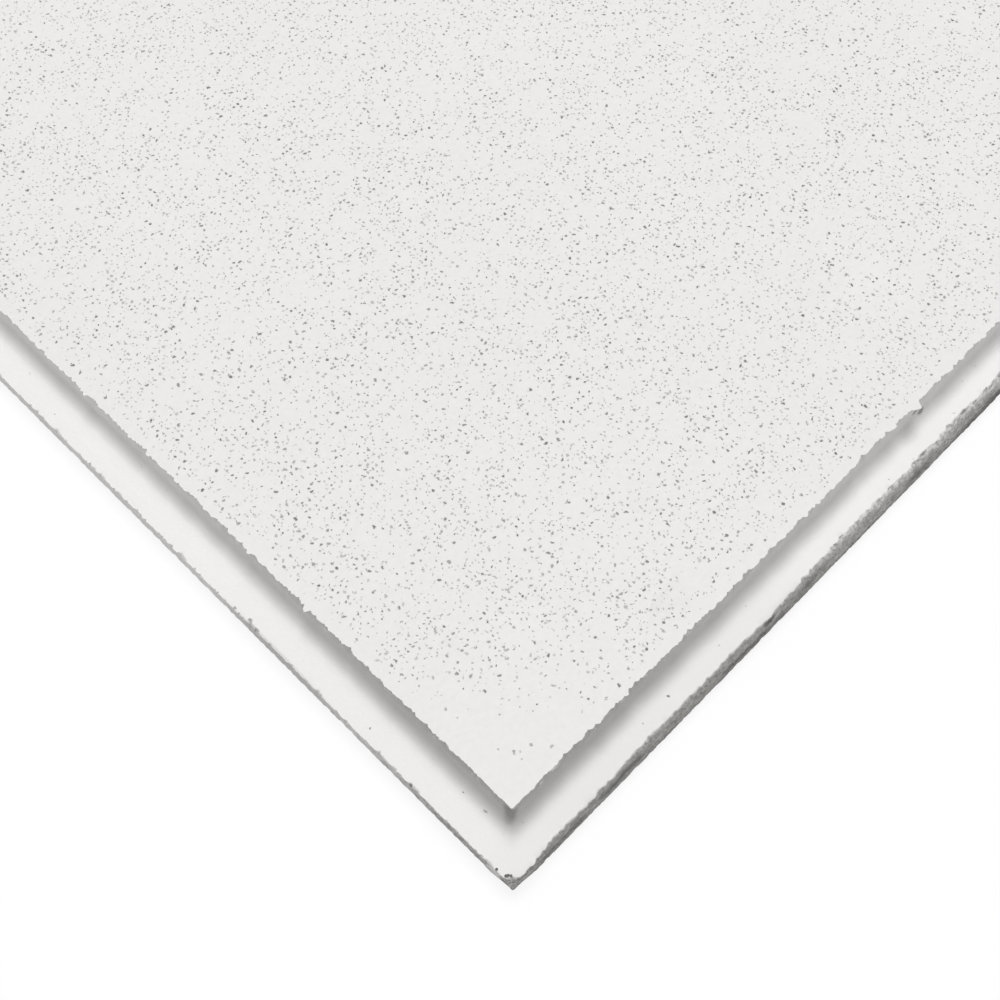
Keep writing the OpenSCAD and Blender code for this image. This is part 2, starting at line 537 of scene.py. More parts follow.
def step_rings(shape, inset, stuck_out, wobble):
    """The rings of the face's arris, the step's wall and the cove."""
    top, cove = TILE_HIGH.z, shape.cove_radius
    rings = [
        Ring(stuck_out - inset, top - 0.02 * MM, 0),
        Ring(0.9 * stuck_out - inset, top - 0.3 * MM + 0.1 * MM * wobble.face(0.7), 0),
        Ring(
            0.2 * stuck_out - 0.45 * inset + 0.05 * MM * wobble.face(1.5),
            top - 1.2 * MM + 0.2 * MM * wobble.face(2), 0),
        Ring(0.06 * MM * wobble.face(3), (top + LEDGE_TOP + cove) / 2, 0),
    ]
    for turn in np.radians([0, 30, 60, 90]):
        swell = 0.06 * MM * wobble.face(5) * math.cos(turn)
        height = LEDGE_TOP + cove * (1 - math.sin(turn))
        rings.append(Ring(swell + cove * (1 - math.cos(turn)), height, 0))
    return rings


def ledge_rings(shape, columns, loss, wobble):
    """The rings of the ledge, its broken arris and the outer edge down to the back."""
    ledge, cove = LEDGE_TOP, shape.cove_radius

    def from_edge(distance, tuck=0):
        return columns.reach - columns.stretch * np.maximum(distance, loss.blunted + tuck * loss.tucked)

    shoulder = from_edge(loss.width + 0.3 * MM + 0.25 * loss.drop)
    rings = [
        Ring(cove + 0.5 * (shoulder - cove), ledge + 0.03 * MM * wobble.edge(6), 0),
        Ring(shoulder, ledge + 0.02 * MM * wobble.edge(4), 0),
        Ring(from_edge(loss.width + 0.14 * MM), ledge - 0.01 * loss.drop, 0),
        Ring(from_edge(loss.width), ledge - 0.04 * loss.drop + 0.02 * MM * wobble.edge(2), 0.35 * loss.raw),
    ]
    for step in BREAK_STEPS:
        out = from_edge(step.width * loss.width + np.abs(wobble.rough(step.rough_out)), step.tucked)
        height = ledge - step.drop * loss.drop + step.rough_up * wobble.rough()
        rings.append(Ring(out, height, (step.bare - step.kept * loss.kept) * loss.raw))
    halfway = 0.5 * (ledge - loss.drop)
    rings += [
        Ring(from_edge(0.08 * MM + np.abs(wobble.rough(1.2)), 0.7), halfway + wobble.rough(), loss.raw),
        Ring(from_edge(0.24 * MM + np.abs(wobble.rough()), 1), 0.5 * MM + 0.5 * wobble.rough(), loss.raw),
        Ring(from_edge(0.6 * MM + np.abs(wobble.rough(1.5)), 1.5), TILE_LOW.z, 1),
    ]
    return rings


def edge_rings(shape, wear, columns):
    """The rings of the edge's grid, from the face's arris over the step and the ledge to the back."""
    wobble = Wobble(columns, wear)
    inset, stuck_out = face_arris(shape, wear, columns, wobble)
    loss = outer_edge(wear, columns, wobble)
    rings = step_rings(shape, inset, stuck_out, wobble)
    return rings + ledge_rings(shape, columns, loss, wobble)


# The finishes in the order of the board's materials
FACE_PAINT, PAINTED_EDGE, BACK_FELT = range(3)


def pit_rims(shape, pits):
    """The outlines and floors of the larger pits, as lists of points on the face and depths."""
    rng = np.random.default_rng(pits.seed)
    half = face_half(shape) - shape.face_margin
    counts = np.floor(2 * half / pits.cell).astype(int)
    cells = np.stack(np.meshgrid(*[np.arange(n) for n in counts], indexing="ij"), axis=-1).reshape(-1, 2)
    centres = (cells + 0.5 - counts / 2) * pits.cell
    clumps = smooth(1.6 * patch_noise(centres, 14 * MM, rng) - 0.3)
    clumps = clumps + 0.6 * patch_noise(centres, 5 * MM, rng)
    insets = half - np.abs(centres)
    quiet = smooth(1.4 * insets.min(axis=1) / pits.quiet_edge - 0.4)
    quiet = quiet * smooth(1.7 * insets.sum(axis=1) / pits.quiet_corner - 0.7)
    centres = centres[rng.uniform(0, 1, len(centres)) < 1.25 * pits.share * clumps * quiet]
    radii = pits.smallest + (pits.largest - pits.smallest) * rng.uniform(0, 1, len(centres)) ** 2.5
    rims, floors = [], []
    for centre, radius in zip(centres, radii):
        points = rng.integers(5, 7)
        angles = (np.arange(points) + rng.uniform(-0.3, 0.3, points)) * 2 * math.pi / points
        spread = radius * rng.uniform(0.75, 1.2, points)
        long, turn = rng.uniform(1, 1.7), rng.uniform(0, math.pi)
        flat = np.stack((long * spread * np.cos(angles), spread / long * np.sin(angles)), axis=1)
        twist = np.array([[math.cos(turn), math.sin(turn)], [-math.sin(turn), math.cos(turn)]])
        room = pits.cell / 2 - 1.2 * radius * long
        middle = centre + rng.uniform(-1, 1, 2) * max(room, 0)
        rims.append(middle + flat @ twist)
        floors.append((middle + 0.25 * radius * rng.uniform(-1, 1, 2), radius * rng.uniform(0.9, 1.6)))
    return rims, floors


def filled(outline, extra_rims, extra_points=()):
    """Triangles that fill an outline round the rims, as indices into outline, rims and points in order."""
    loops = [outline, *extra_rims]
    edges, start = [], 0
    for loop in loops:
        edges += [(start + i, start + (i + 1) % len(loop)) for i in range(len(loop))]
        start += len(loop)
    owner = np.repeat(np.arange(len(loops)), [len(loop) for loop in loops])
    owner = np.concatenate((owner, np.full(len(extra_points), -1)))
    points = [Vector(p) for p in np.concatenate((*loops, np.reshape(extra_points, (-1, 2)))) / MM]
    inside_only, merge_distance, with_origins = 1, 1e-6, True
    _, _, faces, origins, _, _ = delaunay_2d_cdt(
        points, edges, [], inside_only, merge_distance, with_origins)
    if any(len(o) == 0 for o in origins):
        raise RuntimeError("the outlines on the face cross each other")
    first = np.array([o[0] for o in origins])
    triangles = first[np.array(faces)]
    # A triangle whose corners are all on one loop lies inside that loop if they run the loop's own way
    loop = owner[triangles]
    on_one_loop = (loop[:, 0] >= 0) & (loop == loop[:, :1]).all(axis=1)
    forward = (triangles < np.roll(triangles, -1, axis=1)).sum(axis=1) == 2
    stray = on_one_loop & (forward != (loop[:, 0] == 0))
    return triangles[~stray].tolist()


class BoardMesh:
    """Collects the points and faces of the board."""

    def __init__(self):
        self.points, self.bare, self.faces, self.finish, self.curved = [], [], [], [], []

    def add_points(self, flat, height, bare):
        """Adds points and gives their indices."""
        start = sum(len(p) for p in self.points)
        count = len(flat)
        self.points.append(np.column_stack((flat, np.broadcast_to(height, count))))
        self.bare.append(np.broadcast_to(bare, count).astype(float))
        return np.arange(start, start + count)

    def add_faces(self, faces, finish, curved):
        self.faces += faces
        self.finish += [finish] * len(faces)
        self.curved += [curved] * len(faces)

    def add_strip(self, inner, outer, finish):
        """Joins two rings of points. Neighbours on the inner ring may be one point."""
        corners = zip(inner, outer, np.roll(outer, -1), np.roll(inner, -1))
        self.add_faces([(a, b, c) if a == d else (a, b, c, d) for a, b, c, d in corners], finish, True)

    def make(self, name, materials):
        mesh = bpy.data.meshes.new(name)
        faces = [[int(i) for i in face] for face in self.faces]
        mesh.from_pydata(np.concatenate(self.points).tolist(), [], faces)
        for material in materials:
            mesh.materials.append(material)
        mesh.polygons.foreach_set("material_index", self.finish)
        mesh.polygons.foreach_set("use_smooth", self.curved)
        mesh.attributes.new(BARE, "FLOAT", "POINT").data.foreach_set("value", np.concatenate(self.bare))
        mesh.set_sharp_from_angle(angle=SHARP_ANGLE)
        if mesh.validate():
            raise RuntimeError("the board's mesh has faulty faces")
        mesh.update()
        piece = bpy.data.objects.new(name, mesh)
        bpy.context.scene.collection.objects.link(piece)
        return piece


def add_edge(board, shape, wear):
    """Adds the edge's grid, and gives its outlines on the face and on the back with their indices."""
    columns = edge_columns(shape)
    inner_half = face_half(shape) - shape.face_margin
    margin = np.clip(columns.base, -inner_half, inner_half)
    new_point = np.any(np.abs(margin - np.roll(margin, 1, axis=0)) > SAME_POINT, axis=1)
    outline = margin[new_point]
    outline_index = board.add_points(outline, TILE_HIGH.z, 0)
    previous = outline_index[(np.cumsum(new_point) - 1) % len(outline)]
    for count, ring in enumerate(edge_rings(shape, wear, columns)):
        flat = columns.base + columns.out * ring.out[:, None]
        current = board.add_points(flat, ring.height, ring.bare)
        board.add_strip(previous, current, PAINTED_EDGE if count else FACE_PAINT)
        previous = current
    return outline, outline_index, flat, previous


def add_face(board, shape, pits, outline, outline_index):
    """Adds the face inside its outline, with its pits."""
    rims, floors = pit_rims(shape, pits)
    middles, depths = (np.array(values) for values in zip(*floors))
    rim_index = board.add_points(np.concatenate(rims), TILE_HIGH.z, 0)
    floor_index = board.add_points(middles, TILE_HIGH.z - depths, 1)
    index = np.concatenate((outline_index, rim_index))
    board.add_faces(index[np.array(filled(outline, rims))].tolist(), FACE_PAINT, False)
    start = 0
    for rim, floor in zip(rims, floor_index):
        loop = rim_index[start : start + len(rim)]
        board.add_faces([(a, b, floor) for a, b in zip(loop, np.roll(loop, -1))], FACE_PAINT, False)
        start += len(rim)


def add_back(board, outline, outline_index):
    """Adds the back inside its outline, over a coarse grid of points."""
    grid = np.linspace(-0.45, 0.45, 10)
    inner = np.array([(TILE_SIZE.x * x, TILE_SIZE.y * y) for x in grid for y in grid])
    inner_index = board.add_points(inner, TILE_LOW.z, 1)
    index = np.concatenate((outline_index, inner_index))
    triangles = index[np.array(filled(outline, [], inner))]
    board.add_faces(triangles[:, ::-1].tolist(), BACK_FELT, False)


def board_mesh(shape, wear, pits):
    """The whole board as one closed mesh."""
    board = BoardMesh()
    outline, outline_index, back_outline, back_index = add_edge(board, shape, wear)
    add_face(board, shape, pits, outline, outline_index)
    add_back(board, back_outline, back_index)
    return board


def add_node(tree, kind, inputs=None, **settings):
    """Adds a node, sets its options, and sets or links its inputs."""
    node = tree.nodes.new(kind)
    for name, value in settings.items():
        setattr(node, name, value)
    for name, value in (inputs or {}).items():
        if isinstance(value, bpy.types.NodeSocket):
            tree.links.new(value, node.inputs[name])
        else:
            node.inputs[name].default_value = value
    return node


def calculate(tree, operation, *values):
    """The result of a Math node."""
    return add_node(tree, "ShaderNodeMath", dict(enumerate(values)), operation=operation).outputs[0]


def product(tree, first, *others):
    """Values times each other."""
    for other in others:
        first = calculate(tree, "MULTIPLY", first, other)
    return first


def linear(tree, value, slope, offset):
    """A value times a slope, plus an offset."""
    return calculate(tree, "MULTIPLY_ADD", value, slope, offset)


def vectors(tree, operation, *values):
    """The vector result of a Vector Math node."""
    return add_node(tree, "ShaderNodeVectorMath", dict(enumerate(values)), operation=operation).outputs[0]


def measured(tree, operation, *values):
    """The number that a Vector Math node gives."""
    node = add_node(tree, "ShaderNodeVectorMath", dict(enumerate(values)), operation=operation)
    return node.outputs["Value"]


def axes_of(tree, vector):
    """The three parts of a vector."""
    return add_node(tree, "ShaderNodeSeparateXYZ", {"Vector": vector}).outputs


def ramped(tree, value, low, high):
    """A value eased from 0 at low to 1 at high."""
    inputs = {"Value": value, "From Min": low, "From Max": high}
    return add_node(tree, "ShaderNodeMapRange", inputs, interpolation_type="SMOOTHSTEP").outputs[0]


def mixed(tree, factor, first, second):
    """A mix of two colours."""
    colours = [(*c, 1) if isinstance(c, tuple) else c for c in (first, second)]
    inputs = {0: factor, 6: colours[0], 7: colours[1]}
    return add_node(tree, "ShaderNodeMix", inputs, data_type="RGBA").outputs[2]


def noise(tree, vector, wavelength, detail=2.0, roughness=0.5):
    """The value of a noise whose coarsest features are that far apart."""
    inputs = {"Vector": vector, "Scale": 1 / wavelength, "Detail": detail, "Roughness": roughness}
    return add_node(tree, "ShaderNodeTexNoise", inputs).outputs[0]


def warped(tree, vector, wavelength, detail, reach):
    """Coordinates pushed about at random, up to about half the reach."""
    inputs = {"Vector": vector, "Scale": 1 / wavelength, "Detail": detail}
    colour = add_node(tree, "ShaderNodeTexNoise", inputs).outputs["Color"]
    shift = vectors(tree, "SUBTRACT", colour, (0.5, 0.5, 0.5))
    return vectors(tree, "MULTIPLY_ADD", shift, (reach,) * 3, vector)


def new_group(name, inputs, outputs):
    """An empty node group with its sockets, as the group, its inputs' values and its outputs' ends."""
    group = bpy.data.node_groups.new(name, "ShaderNodeTree")
    for label, kind in inputs:
        group.interface.new_socket(name=label, in_out="INPUT", socket_type=kind)
    for label in outputs:
        group.interface.new_socket(name=label, in_out="OUTPUT", socket_type="NodeSocketFloat")
    source = group.nodes.new("NodeGroupInput")
    sink = group.nodes.new("NodeGroupOutput")
    return group, source.outputs, sink.inputs


def place_group(tree, group, inputs):
    """Puts a node group in a material and gives its outputs."""
    return add_node(tree, "ShaderNodeGroup", inputs, node_tree=group).outputs


def pin_holes_group():
    """Fine irregular holes.

    Spacing is the distance between places for a hole, Size the largest hole as a share of that, and Amount
    the share of places that have one."""
    number = "NodeSocketFloat"
    group, given, result = new_group(
        "pin_holes",
        [("Vector", "NodeSocketVector"), ("Spacing", number), ("Size", number), ("Amount", number)],
        ["Mask"])
    place = warped(group, given["Vector"], wavelength=0.6 * MM, detail=1, reach=0.7 * MM)
    scale = calculate(group, "DIVIDE", 1.0, given["Spacing"])
    cells = add_node(
        group, "ShaderNodeTexVoronoi", {"Vector": place, "Scale": scale}, voronoi_dimensions="2D").outputs
    chance = add_node(group, "ShaderNodeSeparateColor", {"Color": cells["Color"]}).outputs

    # Each hole is an oval that lies its own way
    turn = {
        "Vector": vectors(group, "SUBTRACT", place, cells["Position"]),
        "Angle": product(group, chance[0], 40.0),
    }
    turned = add_node(group, "ShaderNodeVectorRotate", turn, rotation_type="Z_AXIS").outputs[0]
    longer = linear(group, calculate(group, "FRACT", product(group, chance[1], 9.0)), 0.45, 1.0)
    shorter = calculate(group, "DIVIDE", 1.0, longer)
    squash = add_node(group, "ShaderNodeCombineXYZ", {"X": shorter, "Y": longer, "Z": 0.0}).outputs[0]
    oval = measured(group, "LENGTH", vectors(group, "MULTIPLY", turned, squash))
    distance = product(group, oval, scale)

    share = linear(group, calculate(group, "POWER", chance[1], 2.0), 0.6, 0.4)
    radius = product(group, given["Size"], share)
    hole = ramped(group, distance, radius, product(group, radius, 0.4))
    present = calculate(group, "LESS_THAN", chance[0], given["Amount"])
    strength = linear(group, calculate(group, "POWER", chance[2], 1.5), 0.6, 0.4)
    group.links.new(product(group, hole, present, strength), result["Mask"])
    return group


def paint_skin_group():
    """The stipple of sprayed paint, as a height and a slow drift of tone."""
    group, given, result = new_group("paint_skin", [("Vector", "NodeSocketVector")], ["Height", "Tone"])
    stipple = noise(group, given["Vector"], 1.1 * MM, 3.0, 0.6)
    drift = noise(group, given["Vector"], 60 * MM, 2.0)
    mottle = noise(group, given["Vector"], 4 * MM, 4.0, 0.6)
    group.links.new(stipple, result["Height"])
    group.links.new(linear(group, mottle, 0.5, product(group, drift, 0.5)), result["Tone"])
    return group


def fibre_grain_group():
    """Felted mineral fibre, with Layers to squeeze the grain upright, as a shade and a height."""
    group, given, result = new_group(
        "fibre_grain", [("Vector", "NodeSocketVector"), ("Layers", "NodeSocketFloat")], ["Shade", "Height"])
    squeeze = add_node(group, "ShaderNodeCombineXYZ", {"X": 1.0, "Y": 1.0, "Z": given["Layers"]}).outputs[0]
    felt = vectors(group, "MULTIPLY", given["Vector"], squeeze)
    streaks = noise(group, felt, 2.6 * MM, 5.0, 0.7)
    grains = noise(group, felt, 0.5 * MM, 3.0, 0.7)
    cells = add_node(group, "ShaderNodeTexVoronoi", {"Vector": felt, "Scale": 1 / (0.9 * MM)}).outputs
    pores = ramped(group, cells["Distance"], 0.1, 0.42)
    shade = linear(group, streaks, 0.5, product(group, grains, 0.5))
    shade = product(group, ramped(group, shade, 0.3, 0.58), linear(group, pores, 0.7, 0.3))
    group.links.new(shade, result["Shade"])
    coarse = calculate(group, "ADD", streaks, product(group, pores, 0.3))
    group.links.new(linear(group, grains, 0.6, coarse), result["Height"])
    return group


def dark_mark_group():
    """A dark mark with a crumbled rim, for gaps and for painted shade and shadows: its Place, and its Size.
    """
    sockets = [(name, "NodeSocketVector") for name in ("Vector", "Place", "Size")]
    group, given, result = new_group("dark_mark", sockets, ["Mask"])
    place = warped(group, given["Vector"], wavelength=0.5 * MM, detail=3.0, reach=0.5 * MM)
    scaled = vectors(group, "DIVIDE", vectors(group, "SUBTRACT", place, given["Place"]), given["Size"])
    group.links.new(ramped(group, measured(group, "LENGTH", scaled), 0.6, 0.25), result["Mask"])
    return group


def new_material(name):
    """An empty material, as its node tree, its shader and the object's own coordinates."""
    material = bpy.data.materials.new(name)
    material.use_nodes = True
    tree = material.node_tree
    tree.nodes.clear()
    shader = add_node(tree, "ShaderNodeBsdfPrincipled", {"Specular IOR Level": 0.25})
    output = add_node(tree, "ShaderNodeOutputMaterial")
    tree.links.new(shader.outputs[0], output.inputs["Surface"])
    vector = add_node(tree, "ShaderNodeTexCoord").outputs["Object"]
    return material, tree, shader.inputs, vector


def set_bump(tree, shader, height, depth):
    """Drives the shader's normal from a height."""
    bump = add_node(tree, "ShaderNodeBump", {"Height": height, "Distance": depth, "Strength": 1.0})
    tree.links.new(bump.outputs[0], shader["Normal"])


def core_colour(tree, finish, grain):
    """The colour of bare mineral fibre."""
    return mixed(tree, grain["Shade"], tuple(finish.core_dark), tuple(finish.bare_core))


def toned(tree, colour, tone, swing):
    """A colour that drifts a little lighter and darker."""
    factor = linear(tree, calculate(tree, "SUBTRACT", tone, 0.5), swing, 1.0)
    return add_node(
        tree, "ShaderNodeVectorMath", {0: colour, "Scale": factor}, operation="SCALE").outputs[0]


def worn(tree, vector, spread, low, high):
    """How far the paint is worn off, from whole at low to bare at high, with a crumbled border."""
    bare = add_node(tree, "ShaderNodeAttribute", attribute_name=BARE).outputs["Fac"]
    crumble = linear(tree, noise(tree, vector, 1.1 * MM, 5.0, 0.75), spread, -0.5 * spread)
    return ramped(tree, calculate(tree, "ADD", bare, crumble), low, high)


def pin_holes(tree, groups, vector, spacing, size, amount):
    """The mask of fine holes."""
    inputs = {"Vector": vector, "Spacing": spacing, "Size": size, "Amount": amount}
    return place_group(tree, groups["pin_holes"], inputs)["Mask"]


def all_dark_marks(tree, groups, vector, marks):
    """The mask of the listed dark marks: gaps, painted shade and painted shadows."""
    mask = 0.0
    for spot in marks:
        place = (TILE_LOW.x + spot.front * MM, TILE_LOW.y + spot.left * MM, LEDGE_TOP + spot.height * MM)
        size = (spot.wide * MM, spot.long * MM, spot.tall * MM)
        inputs = {"Vector": vector, "Place": place, "Size": size}
        one = place_group(tree, groups["dark_mark"], inputs)["Mask"]
        mask = calculate(tree, "MAXIMUM", product(tree, one, spot.shade), mask)
    return mask


def pitted(tree, vector, shape, pits):
    """How many of the face's pits there are: few beside the arrises and in the corners, and clumped."""
    axes = axes_of(tree, vector)
    half = face_half(shape)
    insets = [
        calculate(tree, "SUBTRACT", float(half[i]), calculate(tree, "ABSOLUTE", axes[i])) for i in (0, 1)]
    beside = ramped(tree, calculate(tree, "MINIMUM", *insets), 0.3 * pits.quiet_edge, pits.quiet_edge)
    inside = ramped(tree, calculate(tree, "ADD", *insets), 0.4 * pits.quiet_corner, pits.quiet_corner)
    clump = ramped(tree, noise(tree, vector, 7 * MM, 3.0), 0.3, 0.62)
    return product(tree, product(tree, beside, inside), linear(tree, clump, 0.44, 0.16))


def face_paint(shape, pits, finish, groups):
    """White paint over a finely pitted face, with painted shade in the fine pits."""
    material, tree, shader, vector = new_material("face_paint")
    amount = pitted(tree, vector, shape, pits)
    holes = pin_holes(tree, groups, vector, spacing=1.2 * MM, size=0.38, amount=amount)
    dust = pin_holes(tree, groups, vector, spacing=0.8 * MM, size=0.38, amount=product(tree, amount, 0.5))
    pricks = calculate(tree, "MAXIMUM", holes, product(tree, dust, 0.7))
    pricks = calculate(tree, "MAXIMUM", pricks, all_dark_marks(tree, groups, vector, FACE_SPECKS))
    skin = place_group(tree, groups["paint_skin"], {"Vector": vector})
    grain = place_group(tree, groups["fibre_grain"], {"Vector": vector, "Layers": 1.5})
    paint = toned(tree, toned(tree, tuple(finish.face_paint), skin["Tone"], 0.06), skin["Height"], 0.1)
    # The fine holes are only painted: their dark colour is grey core with painted shade
    colour = mixed(tree, pricks, paint, tuple(finish.pit_core_and_shade))
    pit_floor = product(tree, worn(tree, vector, 0.3, 0.38, 0.66), 0.8)
    colour = mixed(tree, pit_floor, colour, core_colour(tree, finish, grain))
    tree.links.new(colour, shader["Base Color"])
    tree.links.new(linear(tree, skin["Tone"], 0.1, 0.85), shader["Roughness"])
    height = linear(tree, pricks, -1.0, product(tree, skin["Height"], 0.35))
    set_bump(tree, shader, height, 0.12 * MM)
    return material


def step_wall(tree, vector, shape):
    """The mask of the step's wall and cove."""
    axes = axes_of(tree, vector)
    half = face_half(shape)
    outside = [
        calculate(tree, "SUBTRACT", calculate(tree, "ABSOLUTE", axes[i]), float(half[i])) for i in (0, 1)]
    distance = calculate(tree, "MAXIMUM", *outside)
    return ramped(tree, distance, 1.5 * shape.cove_radius, 0.1 * shape.cove_radius)


def wall_shade_and_thin_paint(tree, vector, shape, wall):
    """Thin paint and painted shade on the wall and cove, most at the top and by the near corner, flecks
    kept.
    """
    height = axes_of(tree, vector)["Z"]
    half = face_half(shape)
    corner = (-float(half[0]), -float(half[1]), TILE_HIGH.z)
    close = ramped(tree, measured(tree, "DISTANCE", vector, corner), 120 * MM, 0.0)
    mottle = ramped(tree, noise(tree, vector, 2.6 * MM, 5.0, 0.65), 0.38, 0.66)
    uneven = linear(tree, mottle, 0.12, product(tree, close, 0.85))
    rise = ramped(tree, height, LEDGE_TOP + 0.3 * shape.cove_radius, TILE_HIGH.z - 2 * MM)
    upward = linear(tree, rise, 0.55, 0.45)
    high = ramped(tree, height, TILE_HIGH.z - 5 * MM, TILE_HIGH.z - 2 * MM)
    flecks = product(tree, ramped(tree, noise(tree, vector, 2.2 * MM, 3.0, 0.6), 0.57, 0.66), high)
    return product(tree, wall, uneven, upward, linear(tree, flecks, -0.9, 1.0))


def edge_core(tree, vector, finish, grain, height):
    """The bare core of the outer edge, with painted shade at its foot, and darker along a wandering band.
    """
    # Painted shade, darkest at the foot of the outer edge
    foot = product(tree, ramped(tree, height, LEDGE_TOP - 2 * MM, TILE_LOW.z + 1 * MM), 0.4)
    wander = linear(tree, noise(tree, vector, 24 * MM), 4 * MM, LEDGE_TOP - 5 * MM)
    away = calculate(tree, "ABSOLUTE", calculate(tree, "SUBTRACT", height, wander))
    stretches = ramped(tree, noise(tree, vector, 11 * MM), 0.42, 0.56)
    dark_band = product(tree, ramped(tree, away, 1.5 * MM, 0.3 * MM), stretches)
    dark = calculate(tree, "MAXIMUM", foot, product(tree, dark_band, 0.5))
    return mixed(tree, dark, core_colour(tree, finish, grain), tuple(finish.gap_and_shadow_dark))


def painted_edge(shape, finish, groups):
    """Smoother white paint on step and ledge, broken away to the core at the outer arris, with painted
    shade.
    """
    material, tree, shader, vector = new_material("painted_edge")
    skin = place_group(tree, groups["paint_skin"], {"Vector": vector})
    grain = place_group(tree, groups["fibre_grain"], {"Vector": vector, "Layers": 2.0})
    height = axes_of(tree, vector)["Z"]
    wall = step_wall(tree, vector, shape)
    off_wall = calculate(tree, "SUBTRACT", 1.0, wall)
    on_ledge = product(tree, ramped(tree, height, LEDGE_TOP - 0.4 * MM, LEDGE_TOP - 0.2 * MM), off_wall)
    specks = product(
        tree, pin_holes(tree, groups, vector, spacing=2.4 * MM, size=0.16, amount=0.06), on_ledge)
    paint = toned(tree, tuple(finish.ledge_paint), skin["Tone"], 0.05)
    # Painted shade on the step's wall and cove, partly thin paint, darkest at the top and by the near
    # corner
    paint = mixed(tree, wall_shade_and_thin_paint(tree, vector, shape, wall), paint, tuple(finish.thin_paint_and_shade))
    # Fine specks in the ledge's paint, painted dark with shade
    paint = mixed(tree, specks, paint, tuple(finish.pit_core_and_shade))
    bare = worn(tree, vector, 1.3, 0.24, 0.8)
    colour = mixed(tree, bare, paint, edge_core(tree, vector, finish, grain, height))
    colour = mixed(tree, all_dark_marks(tree, groups, vector, DARK_MARKS), colour, tuple(finish.gap_and_shadow_dark))
    tree.links.new(colour, shader["Base Color"])
    tree.links.new(linear(tree, bare, 0.1, 0.84), shader["Roughness"])
    smooth_height = linear(tree, specks, -0.12, product(tree, skin["Height"], 0.08))
    rough_height = product(tree, grain["Height"], bare, 0.7)
    set_bump(tree, shader, calculate(tree, "ADD", smooth_height, rough_height), 0.6 * MM)
    return material


def back_felt(finish, groups):
    """The unpainted back, rubbed flat, with shallow pores."""
    material, tree, shader, vector = new_material("back_felt")
    grain = place_group(tree, groups["fibre_grain"], {"Vector": vector, "Layers": 1.0})
    pores = pin_holes(tree, groups, vector, spacing=3.5 * MM, size=0.2, amount=0.5)
    felted = linear(tree, grain["Shade"], 0.5, 0.5)
    colour = mixed(tree, felted, tuple(finish.bare_core), tuple(finish.back_felt))
    colour = mixed(tree, product(tree, pores, 0.6), colour, tuple(finish.core_dark))
    tree.links.new(colour, shader["Base Color"])
    tree.links.new(linear(tree, grain["Shade"], -0.06, 0.96), shader["Roughness"])
    set_bump(tree, shader, calculate(tree, "SUBTRACT", grain["Height"], pores), 0.25 * MM)
    return material


class CEILINGTILE_OT_make_board(bpy.types.Operator):
    """Build the board with its ragged edges, pits and finishes"""

    bl_idname = "ceiling_tile.make_board"
    bl_label = "Make the board"

    def execute(self, context):
        tile = context.scene.ceiling_tile
        made = (pin_holes_group(), paint_skin_group(), fibre_grain_group(), dark_mark_group())
        groups = {group.name: group for group in made}
        materials = [
            face_paint(tile.shape, tile.pits, tile.finish, groups),
            painted_edge(tile.shape, tile.finish, groups),
            back_felt(tile.finish, groups),
        ]
        board = board_mesh(tile.shape, tile.wear, tile.pits).make("ceiling_tile_board", materials)
        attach(board, BODY)
        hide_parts(NODE)
        return {"FINISHED"}


def stage_material(stage):
    """The floor: part plain white to the eye, so that it stays pale and still takes a soft shadow."""
    material = bpy.data.materials.new("studio_floor")
    material.use_nodes = True
    tree = material.node_tree
    tree.nodes.clear()
    seen = seen_directly(tree)
    colour = mixed(tree, seen, tuple(stage.floor), (1.0, 1.0, 1.0))
    diffuse = add_node(tree, "ShaderNodeBsdfDiffuse", {"Color": colour})
    white = add_node(tree, "ShaderNodeEmission", {"Color": (1, 1, 1, 1), "Strength": 1.0})
    share = product(tree, seen, stage.floor_white)
    blend = add_node(tree, "ShaderNodeMixShader", {0: share, 1: diffuse.outputs[0], 2: white.outputs[0]})
    add_node(tree, "ShaderNodeOutputMaterial", {"Surface": blend.outputs[0]})
    return material


def seen_directly(tree):
    """1 for rays from the camera, a reflection or a refraction, and 0 for light that bounces on."""
    path = add_node(tree, "ShaderNodeLightPath").outputs
    glossy = calculate(tree, "MAXIMUM", path["Is Glossy Ray"], path["Is Transmission Ray"])
    return calculate(tree, "MAXIMUM", path["Is Camera Ray"], glossy)


def add_floor(stage):
    mesh = bpy.data.meshes.new("studio_floor")
    corners = [(FLOOR_REACH * x, FLOOR_REACH * y, 0) for x, y in ((-1, -1), (1, -1), (1, 1), (-1, 1))]
    mesh.from_pydata(corners, [], [(0, 1, 2, 3)])
    mesh.materials.append(stage_material(stage))
    floor = bpy.data.objects.new("studio_floor", mesh)
    floor.location.z = TILE_LOW.z
    bpy.context.scene.collection.objects.link(floor)


def add_light(stage):
    world = bpy.data.worlds.new("studio_sky")
    world.use_nodes = True
    tree = world.node_tree
    tree.nodes.clear()
    strength = linear(tree, seen_directly(tree), 1 - stage.sky, stage.sky)
    sky = add_node(tree, "ShaderNodeBackground", {"Color": (1, 1, 1, 1), "Strength": strength})
    add_node(tree, "ShaderNodeOutputWorld", {"Surface": sky.outputs[0]})
    bpy.context.scene.world = world
    lamp = bpy.data.lights.new("studio_key", "SUN")
    lamp.energy = stage.key
    lamp.angle = stage.key_width
    key = bpy.data.objects.new("studio_key", lamp)
    level = math.cos(stage.key_height)
    heading = stage.key_heading
    towards = Vector((level * math.cos(heading), level * math.sin(heading), math.sin(stage.key_height)))
    key.rotation_euler = towards.to_track_quat("Z", "Y").to_euler()
    bpy.context.scene.collection.objects.link(key)


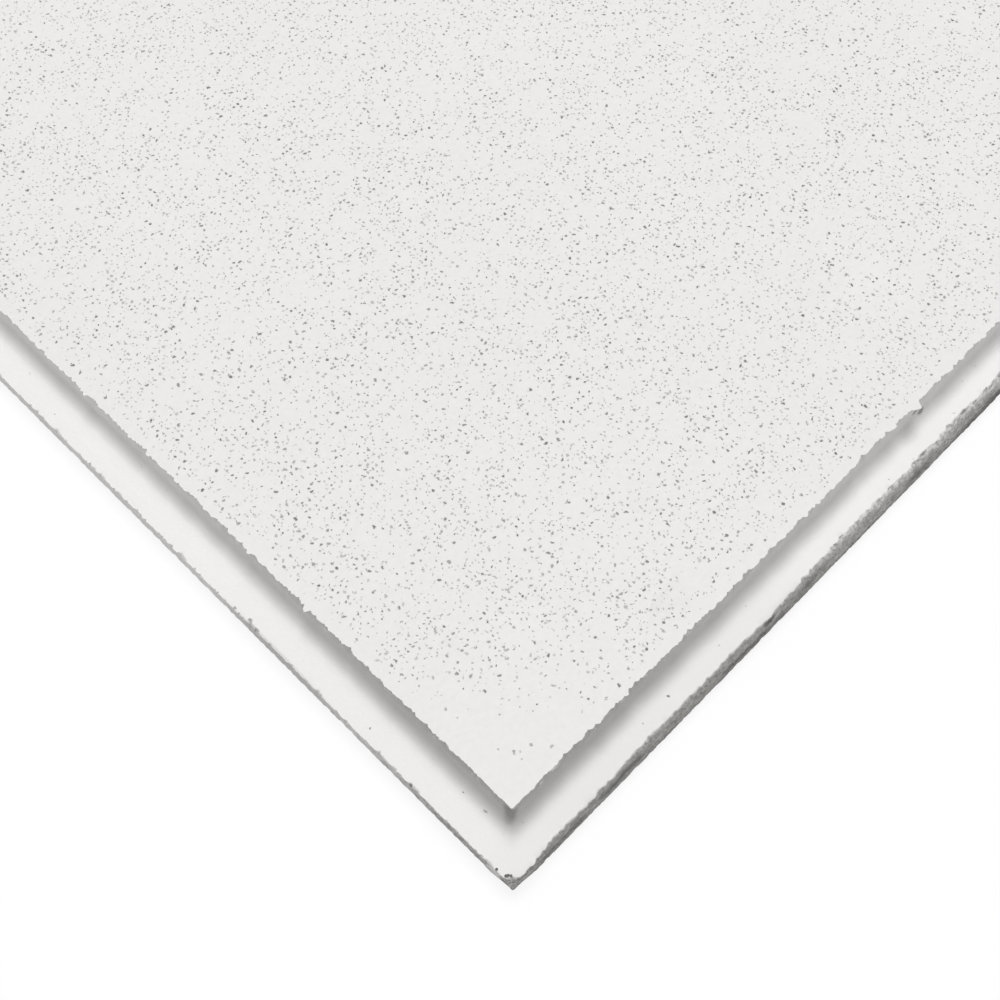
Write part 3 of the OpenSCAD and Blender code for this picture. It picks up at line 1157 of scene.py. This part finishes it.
def add_camera(shape, stage):
    data = bpy.data.cameras.new("studio_camera")
    data.lens = stage.camera_lens
    data.sensor_width = SENSOR_WIDTH
    data.clip_start = CLIP_START
    camera = bpy.data.objects.new("studio_camera", data)
    half = face_half(shape)
    corner = Vector((-half[0], -half[1], TILE_HIGH.z))
    turn = Matrix.Rotation(stage.camera_heading - math.pi / 2, 4, "Z")
    tip = Matrix.Rotation(math.pi / 2 - stage.camera_dip, 4, "X")
    roll = Matrix.Rotation(-stage.camera_roll, 4, "Z")
    camera.matrix_world = Matrix.Translation(corner + Vector(stage.camera_offset)) @ turn @ tip @ roll
    bpy.context.scene.collection.objects.link(camera)
    bpy.context.scene.camera = camera


class CEILINGTILE_OT_set_stage(bpy.types.Operator):
    """Set the floor, the light and the camera"""

    bl_idname = "ceiling_tile.set_stage"
    bl_label = "Set the stage"

    def execute(self, context):
        tile = context.scene.ceiling_tile
        context.scene.view_settings.view_transform = "Standard"
        add_floor(tile.stage)
        add_light(tile.stage)
        add_camera(tile.shape, tile.stage)
        return {"FINISHED"}


class CEILINGTILE_PT_panel(bpy.types.Panel):
    """Settings and steps of the ceiling tile"""

    bl_idname = "CEILINGTILE_PT_panel"
    bl_label = "Ceiling tile"
    bl_space_type = "VIEW_3D"
    bl_region_type = "UI"
    bl_category = "Ceiling tile"

    def draw(self, context):
        tile = context.scene.ceiling_tile
        for group in (tile.shape, tile.wear, tile.pits, tile.finish, tile.stage):
            box = self.layout.box()
            for name in group.__annotations__:
                box.prop(group, name)
        self.layout.operator(CEILINGTILE_OT_make_board.bl_idname)
        self.layout.operator(CEILINGTILE_OT_set_stage.bl_idname)


CLASSES = (
    BoardShape,
    EdgeWear,
    FacePits,
    TileFinish,
    StudioStage,
    CeilingTile,
    CEILINGTILE_OT_make_board,
    CEILINGTILE_OT_set_stage,
    CEILINGTILE_PT_panel,
)


def register():
    for cls in CLASSES:
        bpy.utils.register_class(cls)
    bpy.types.Scene.ceiling_tile = PointerProperty(type=CeilingTile)


def unregister():
    del bpy.types.Scene.ceiling_tile
    for cls in reversed(CLASSES):
        bpy.utils.unregister_class(cls)


def main():
    register()
    bpy.ops.ceiling_tile.make_board()
    bpy.ops.ceiling_tile.set_stage()


if __name__ == "__main__":
    main()
